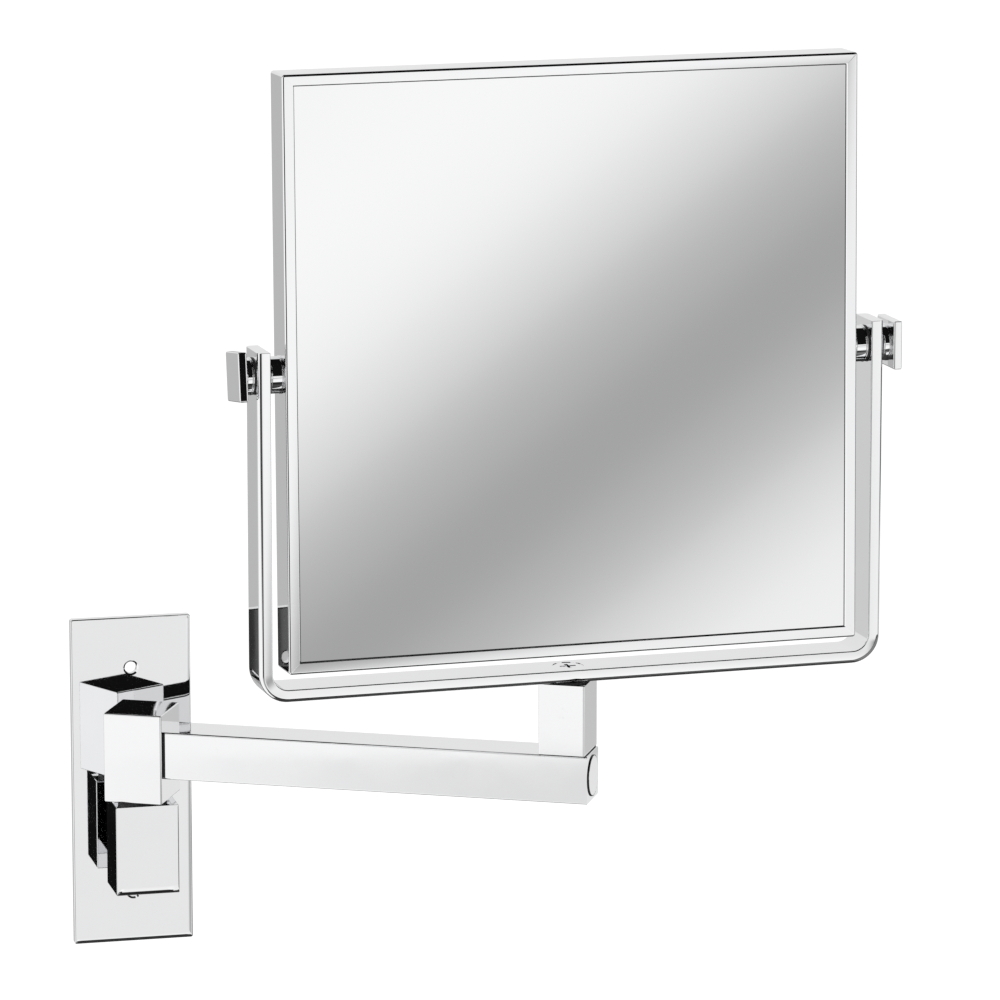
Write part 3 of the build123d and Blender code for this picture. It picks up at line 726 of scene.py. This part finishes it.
def bent_bar_tree():
    """Bar that follows a path with rounded corners, drilled for its pivots and its screw.

    Its outer edges are round, its inner edges nearly sharp, and its front leans outwards.
    """
    group, t, given = geometry_tree(
        "bent_bar", Corner="Float", Width="Float", Depth="Float", Round="Float",
        Inner_Round="Float", Slope="Float", Bore="Float", Seat="Float", Seat_Height="Float",
        Material="Material")
    line = fillet(t, given["Geometry"], bar_bend_steps, given["Corner"])
    inner = t.math("MULTIPLY", given["Width"], 0.5)
    outer = t.math("MULTIPLY", given["Width"], -0.5)
    front = t.math("MULTIPLY", given["Depth"], 0.5)
    back = t.math("MULTIPLY", given["Depth"], -0.5)
    front_outer = t.math("SUBTRACT", front, given["Slope"])
    corners = [t.add("ShaderNodeCombineXYZ", {0: x, 1: y}).outputs[0]
               for x, y in ((outer, back), (outer, front_outer), (inner, front), (inner, back))]
    points = {f"Point {i + 1}": corner for i, corner in enumerate(corners)}
    section = t.add("GeometryNodeCurvePrimitiveQuadrilateral", points, mode="POINTS").outputs[0]
    is_inner = t.math("GREATER_THAN", t.add("GeometryNodeInputIndex").outputs[0], 1.5)
    edge_round = t.mix(is_inner, given["Round"], given["Inner_Round"])
    section = fillet(t, section, bar_round_steps, edge_round)
    bar = swept(t, line, section, **{"Fill Caps": True})
    bore = drill(t, hole_sides, given["Bore"], bore_length)
    bore = moved(t, bore, Rotation=(0.0, pi / 2, 0.0))
    level = t.add("ShaderNodeCombineXYZ", {2: given["Seat_Height"]}).outputs[0]
    seat = moved(t, drill(t, well_sides, given["Seat"], bar_width), Translation=level)
    drills = t.add("GeometryNodeJoinGeometry")
    for tool in (bore, seat):
        t.tree.links.new(tool, drills.inputs[0])
    drilled = t.add("GeometryNodeMeshBoolean", {0: bar, 1: drills.outputs[0]},
                    operation="DIFFERENCE", solver="EXACT")
    end_tree(t, drilled.outputs[0], given["Material"])
    return group


def collar_tree():
    """Turned rings with rounded edges, one standing on each given point, along X."""
    group, t, given = geometry_tree("turned_collars", Radius="Float", Bore="Float",
                                    Length="Float", Round="Float", Material="Material")
    wall = t.math("SUBTRACT", given["Radius"], given["Bore"])
    middle = t.math("MULTIPLY", t.math("ADD", given["Radius"], given["Bore"]), 0.5)
    inputs = {"Resolution": turned_sides, "Radius": middle}
    line = t.add("GeometryNodeCurvePrimitiveCircle", inputs).outputs[0]
    inputs = {"Width": wall, "Height": given["Length"]}
    section = t.add("GeometryNodeCurvePrimitiveQuadrilateral", inputs).outputs[0]
    section = fillet(t, section, collar_round_steps, given["Round"])
    ring = moved(t, swept(t, line, section), Rotation=(0.0, pi / 2, 0.0))
    inputs = {"Points": given["Geometry"], "Instance": ring}
    rings = t.add("GeometryNodeInstanceOnPoints", inputs).outputs[0]
    end_tree(t, rings, given["Material"])
    return group


# ---------------------------------------------------------------- wall bracket
def towards_room(height):
    """Place at this height on the wall, with its Z axis out of the wall."""
    return Matrix.Translation((0, 0, height)) @ Matrix.Rotation(pi / 2, 4, "X")


def neck_screw_holes():
    """Countersunk holes through the wall plate's back into the bracket block's neck."""
    low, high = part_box("bracket_block")
    countersink = neck_screw_mouth - neck_screw_radius
    outline = [(neck_screw_mouth, -overshoot), (neck_screw_mouth, 0),
               (neck_screw_radius, countersink), (neck_screw_radius, neck_screw_length)]
    heights = [(low.z + high.z) / 2 + side * neck_screw_spacing / 2 for side in (-1, 1)]
    return [turned("hole", outline, towards_room(height), small_hole_sides) for height in heights]


def make_wall_plate():
    """Thin plate with round front edges, whose face falls away a little towards its sides."""
    low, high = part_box("wall_plate")
    half_x, half_z, front = high.x, high.z, -low.y
    rings = [rounded(half_x, half_z, plate_corner, 0.0)]
    for angle in quarter(round_steps)[:-1]:
        inset = plate_round * (1 - cos(angle))
        set_back = {side: fall + plate_round * (1 - sin(angle))
                    for side, fall in plate_rolls.items()}
        rings.append(sided_ring(half_x, half_z, plate_corner - inset, -front, inset, set_back))
    for step in range(plate_roll_steps + 1):
        share = step / plate_roll_steps
        set_back = {side: fall * (1 - share) ** 2 for side, fall in plate_rolls.items()}
        corner = plate_face_corner + plate_corner_growth * share
        inset = plate_round + plate_roll_width * share
        rings.append(sided_ring(half_x, half_z, corner, -front, inset, set_back))
    mesh = loft("wall_plate", rings)
    mouth = screw_hole_radius + screw_hole_chamfer
    hole = [(screw_hole_radius, -overshoot), (screw_hole_radius, front - screw_hole_chamfer),
            (mouth, front), (mouth, 2 * front)]
    for side in (-1, 1):
        place = towards_room(side * screw_hole_spacing / 2)
        mesh = cut(mesh, turned("hole", hole, place, hole_sides))
    mesh = cleaned(cut(mesh, *neck_screw_holes()))
    dressed(mesh, "wall_plate_polished", "wall_plate")


def make_bracket_block():
    """Block whose front falls away at its lower edge, with a neck and a stepped well."""
    low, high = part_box("bracket_block")
    half_x, half_z, middle = high.x, (high.z - low.z) / 2, (high.z + low.z) / 2
    arc = quarter(block_round_steps)
    rings = []
    for a in arc:
        inset = block_round * (1 - sin(a))
        corner = block_round * (block_back_corner + sin(a)) + least_corner
        rings.append(rounded(half_x - inset, half_z - inset, corner,
                             block_back - block_round * (1 - cos(a))))
    for a in arc:
        insets = {side: edge * (1 - cos(a)) for side, edge in block_edges.items()}
        set_back = {side: block_falls[side] + edge * (1 - sin(a))
                    for side, edge in block_edges.items()}
        growth = (block_face_corner - block_edge_corner) * (1 - cos(a))
        corners = (block_edge_corner,) * 3 + (block_edge_corner + growth,)
        rings.append(sided_ring(half_x, half_z, corners, low.y, insets, set_back))
    for step in range(1, block_front_steps + 1):
        inward = (half_x - block_middle) * step / block_front_steps
        run = max(0.0, 1 - inward / fall_reach) ** fall_power
        insets = {side: edge + inward for side, edge in block_edges.items()}
        set_back = {side: fall * run for side, fall in block_falls.items()}
        largest = half_x - inward - block_corner_room
        corner = min(block_edge_corner + block_corner_growth * inward, largest)
        corners = (corner,) * 3 + (min(block_face_corner, largest),)
        rings.append(sided_ring(half_x, half_z, corners, low.y, insets, set_back))
    body = loft("bracket_block", rings)
    body.transform(Matrix.Translation((0, 0, middle)))
    plate_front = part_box("wall_plate")[0].y
    neck_front = block_back - overshoot
    neck = box_mesh("neck", neck_width / 2, neck_height / 2, neck_front, plate_front)
    neck.transform(Matrix.Translation((0, 0, middle)))
    body = combined(body, neck, "UNION")
    pivot = Matrix.Translation(Vector(joints["arm_swing"]["pos_m"]))
    ledge = low.z + bolt_well_depth
    well = [(bolt_well_radius, low.z - overshoot), (bolt_well_radius, ledge),
            (bush_seat_radius, ledge), (bush_seat_radius, high.z + overshoot)]
    body = cut(body, turned("well", well, pivot, well_sides), *neck_screw_holes())
    dressed(cleaned(body), "bracket_block_polished", "bracket_block")


# ---------------------------------------------------------------- yoke, collars and knobs
def make_yoke():
    place = tilt_place
    low, high = own_box("yoke", place)
    side = high.x - bar_width / 2
    bottom = low.z + bar_width / 2
    line = path("yoke_line", [(-side, 0, high.z), (-side, 0, bottom),
                              (side, 0, bottom), (side, 0, high.z)])
    mesh = grown("yoke_bar", bent_bar_tree(), line, Corner=bar_corner - bar_width / 2,
                 Width=bar_width, Depth=high.y - low.y, Round=bar_round,
                 Inner_Round=bar_inner_round, Slope=bar_slope, Bore=tilt_hole_radius,
                 Seat=seat_radius, Seat_Height=bottom + bar_width / 2, Material=finish["chrome"])
    ends = high.z - bar_end_reach
    mesh = eased(cleaned(mesh), bar_end_round, lambda edge: all(v.co.z > ends for v in edge.verts))
    dressed(mesh, "yoke_polished", "yoke", place=place)


def make_collars():
    """Turned collars, each with a thin flange at both ends."""
    tree = collar_tree()
    for name in ("inner_collars", "outer_collar_left", "outer_collar_right"):
        place = head_place if name == "inner_collars" else tilt_place
        low, high = own_box(name, place)
        start = own_box("head_frame", place)[1].x if name == "inner_collars" else low.x
        middle, length = (start + high.x) / 2, high.x - start
        sides = (-1, 1) if name == "inner_collars" else (1,)
        spots = [(side * middle, 0, 0) for side in sides]
        barrel = grown(name, tree, marks(name, spots), Radius=collar_radius, Bore=collar_bore,
                       Length=length - 2 * flange_length, Round=collar_round,
                       Material=finish["chrome"])
        spots = [(side * middle + end * (length - flange_length) / 2, 0, 0)
                 for side in sides for end in (-1, 1)]
        flanges = grown(name, tree, marks(name, spots), Radius=flange_radius, Bore=collar_bore,
                        Length=flange_length, Round=flange_round, Material=finish["chrome"])
        dressed(joined(name, barrel, flanges), name + "_polished", name, place=place)


def make_knobs():
    """Square knobs whose edges are a little rounder on the yoke's side."""
    for name, side in (("left", -1), ("right", 1)):
        place = tilted(knob_turns[name])
        low, high = own_box("knob_" + name, place)
        half, thickness = high.z, high.x - low.x
        inner_face = min(abs(low.x), abs(high.x))
        depths = [(knob_inner_round * (1 - sin(a)), knob_inner_round * (1 - cos(a)))
                  for a in quarter(round_steps)]
        depths += [(knob_outer_round * (1 - cos(a)), thickness - knob_outer_round * (1 - sin(a)))
                   for a in quarter(round_steps)]
        knob = loft("knob", [rounded(half - inset, half - inset, knob_corners[name],
                                     -inner_face - depth) for inset, depth in depths])
        knob.transform(Matrix.Rotation(side * pi / 2, 4, "Z"))
        hole = [(stud_hole_radius, inner_face - overshoot),
                (stud_hole_radius, inner_face + stud_hole_depth)]
        turn = Matrix.Rotation(side * pi / 2, 4, "Y")
        knob = cut(knob, turned("hole", hole, turn, small_hole_sides))
        dressed(cleaned(knob), f"knob_{name}_polished", "knob_" + name, place=place)


# ---------------------------------------------------------------- mirror head
def frame_ring(half_x, half_z, inset, y, run=0.0):
    """Ring of the head frame's section; over the run each side leans outwards by its angle."""
    corner = max(frame_corner - inset, frame_least_corner)
    ring = rounded(half_x - inset, half_z - inset, corner, y)
    return [(x, y + run * tan(radians(shared(lip_leans, angle))), z)
            for (x, y, z), angle in zip(ring, ring_angles(ring))]


def make_head_frame():
    """Square frame of thin sheet, with a lip round the front glass and bores for the studs."""
    low, high = own_box("head_frame", head_place)
    half_x, half_z, front, back = high.x, high.z, low.y, high.y
    arc = quarter(round_steps)
    flat_end = lip_width - lip_bevel
    outline = [(frame_wall, back, 0)]
    outline += [(frame_round * (1 - sin(a)), back - frame_round * (1 - cos(a)), 0) for a in arc]
    outline += [(frame_round * (1 - cos(a)), front + frame_round * (1 - sin(a)),
                 flat_end - frame_round) for a in arc]
    outline += [(flat_end, front, 0), (lip_width, front + lip_bevel_depth, 0),
                (lip_width, front + lip_thickness, 0), (frame_wall, front + lip_thickness, 0)]
    mesh = loft("head_frame", [frame_ring(half_x, half_z, *part) for part in outline], closed=True)
    rod = turned("rod", [(collar_bore, -rod_reach), (collar_bore, rod_reach)],
                 Matrix.Rotation(pi / 2, 4, "Y"), small_hole_sides)
    dressed(cut(mesh, rod), "head_frame_polished", "head_frame", place=head_place)


def make_glass_shade_strip():
    """Thin black strip between the lip and the front glass, of another width at each corner: painted shade of the
    gap between them.
    """
    low, high = own_box("head_frame", head_place)
    base = low.y + lip_thickness
    rings = []
    for share, y in ((0.0, low.y + shade_strip_sunk), (shade_strip_face, low.y + shade_strip_sunk), (1.0, base),
                     (0.0, base)):
        ring = []
        for x, y, z in frame_ring(high.x, high.z, lip_width - (0 if share else overlap), y):
            corner = "right" if x > 0 else "left", "top" if z > 0 else "bottom"
            across, up = shade_strip_widths[corner]
            ring.append((x - copysign(across * share, x), y, z - copysign(up * share, z)))
        rings.append(ring)
    shade_strip = loft("shade_strip", rings, closed=True)
    # its black finish paints the shade in the gap between the lip and the glass
    dressed(shade_strip, "glass_shade_strip", place=head_place, body="mirror_head", slot="nylon")


def make_rear_glass():
    """Square glass with a round magnifying dish pressed in and a fine line round it."""
    _, high = own_box("rear_glass", head_place)
    half_x, half_z, back = high.x, high.z, high.y
    front = back - rear_thickness
    rim = min(half_x, half_z) - dish_margin
    radius = (rim ** 2 + dish_depth ** 2) / (2 * dish_depth)
    centre = back - dish_depth + radius
    radii = [max(rim * i / dish_rings, dish_pole) for i in range(dish_rings)]

    def level(r, y):
        return [(x, y, z) for x, z, _ in circle(r, 0.0, dish_sides)]

    def dished(r, away):
        return level(r, centre - away - (radius ** 2 - r ** 2) ** 0.5)

    rings = [dished(r, rear_thickness) for r in radii + [rim]]
    rings += [square_ring(half_x, half_z, y, dish_sides) for y in (front, back)]
    rings += [level(rim + dish_line, back), level(rim, back - dish_line_depth)]
    rings += [dished(r, 0.0) for r in [rim - dish_line] + radii[::-1]]
    dressed(loft("rear_glass", rings), "rear_glass_polished", "rear_glass", place=head_place)


# ---------------------------------------------------------------- arm
def make_arm_end_plug():
    """Round plug whose head stands proud on a thin black ring, painted shade of the joint round it."""
    low, high = own_box("arm_end_plug", arm_place)
    face, shade_strip_top = high.x - plug_proud, high.x - plug_shade_strip_top
    axis = arm_place @ Matrix.Translation((0, 0, (low.z + high.z) / 2))
    axis = axis @ Matrix.Rotation(pi / 2, 4, "Y")
    outline = [(plug_radius, low.x), (plug_radius, face), (plug_head_radius, face),
               (plug_head_radius, high.x - plug_round), (plug_head_radius - plug_round, high.x)]
    plug = turned("plug", outline, axis, turned_sides)
    dressed(plug, "arm_end_plug_polished", "arm_end_plug")
    # black ring under the plug's head: painted shade of its joint with the arm's end
    bore = plug_head_radius - overlap
    outline = [(bore, face), (plug_radius, face), (plug_radius, shade_strip_top), (bore, shade_strip_top)]
    rings = [circle(radius, height, turned_sides) for radius, height in outline]
    shade_strip = loft("shade_strip", rings, closed=True)
    dressed(shade_strip, "plug_shade_strip", place=axis, body="arm", slot="nylon")


def flat_ring(half_x, half_y, inner_x, inner_y, bottom, top):
    """Rectangular ring that lies flat between two heights."""
    outline = [(half_x, half_y, bottom), (half_x, half_y, top),
               (inner_x, inner_y, top), (inner_x, inner_y, bottom)]
    rings = [rounded(x, y, seam_corner, -level) for x, y, level in outline]
    ring = loft("ring", rings, closed=True)
    ring.transform(Matrix.Rotation(-pi / 2, 4, "X"))
    return ring


def make_post_block():
    """Post with a groove round its foot that holds a thin black ring, painted shade of its seam with the arm."""
    low, high = own_box("post_block", arm_place)
    middle, half = (low + high) / 2, (high - low) / 2
    centre = arm_place @ Matrix.Translation((middle.x, middle.y, low.z))
    inner = (half.x - seam_depth, half.y - seam_depth)
    groove = flat_ring(half.x + overshoot, half.y + overshoot, *inner, -overshoot, seam_height)
    groove.transform(centre)
    post = cleaned(cut(cleaned(frame["nodes"]["post_block"].data.copy()), groove))
    dressed(post, "post_block_polished", "post_block")
    # black ring in the groove: painted shade along the post's seam with the arm
    shade_strip = flat_ring(half.x - seam_inset, half.y - seam_inset, *inner, 0.0, seam_height)
    dressed(shade_strip, "post_shade_strip", place=centre, body="arm", slot="nylon")


# ---------------------------------------------------------------- floor, lamp and camera
def make_floor():
    level = cad_box[0][2] - floor_drop
    work = bmesh.new()
    bmesh.ops.create_grid(work, x_segments=1, y_segments=1, size=floor_size,
                          matrix=Matrix.Translation((0, 0, level)))
    floor = linked("floor", bpy.data.meshes.new("floor"))
    work.to_mesh(floor.data)
    work.free()
    material, t = new_material("pale_floor")
    rays = t.add("ShaderNodeLightPath").outputs
    paper = t.add("ShaderNodeBsdfDiffuse", {"Color": floor_paint})
    lift = t.math("MULTIPLY", rays["Is Camera Ray"], floor_glow)
    glow = t.add("ShaderNodeEmission", {"Strength": lift})
    both = t.add("ShaderNodeAddShader", {0: paper.outputs[0], 1: glow.outputs[0]})
    finish_material(t, both)
    floor.data.materials.append(material)
    floor.visible_glossy = False


def make_lamp():
    lamp = bpy.data.lights.new("key", "AREA")
    lamp.energy = lamp_power
    lamp.size = lamp_size
    holder = linked("key", lamp)
    holder.location = lamp_place
    aim = Vector(lamp_aim) - holder.location
    holder.rotation_euler = aim.to_track_quat("-Z", "Y").to_euler()
    holder.visible_glossy = False


def make_camera():
    lens = bpy.data.cameras.new("camera")
    lens.sensor_width = camera_sensor
    lens.lens = camera_lens
    lens.clip_end = camera_reach
    camera = linked("camera", lens)
    yaw, pitch = radians(camera_yaw), radians(camera_pitch)
    ahead = Vector((sin(yaw) * cos(pitch), cos(yaw) * cos(pitch), sin(pitch)))
    camera.location = camera_place
    camera.rotation_euler = ahead.to_track_quat("-Z", "Y").to_euler()
    bpy.context.scene.camera = camera


make_wall_plate()
make_bracket_block()
make_yoke()
make_collars()
make_head_frame()
make_glass_shade_strip()
make_knobs()
make_rear_glass()
make_arm_end_plug()
make_post_block()
for node in ("knuckle_block", "arm_bar", "yoke_screw", "rear_bezel", "front_glass"):
    polished(node)
for node, thing in frame["nodes"].items():
    thing.data.materials.clear()
    thing.data.materials.append(finish[slot_of[node]])
make_world()
make_floor()
make_lamp()
make_camera()
bpy.context.scene.view_settings.view_transform = "Standard"
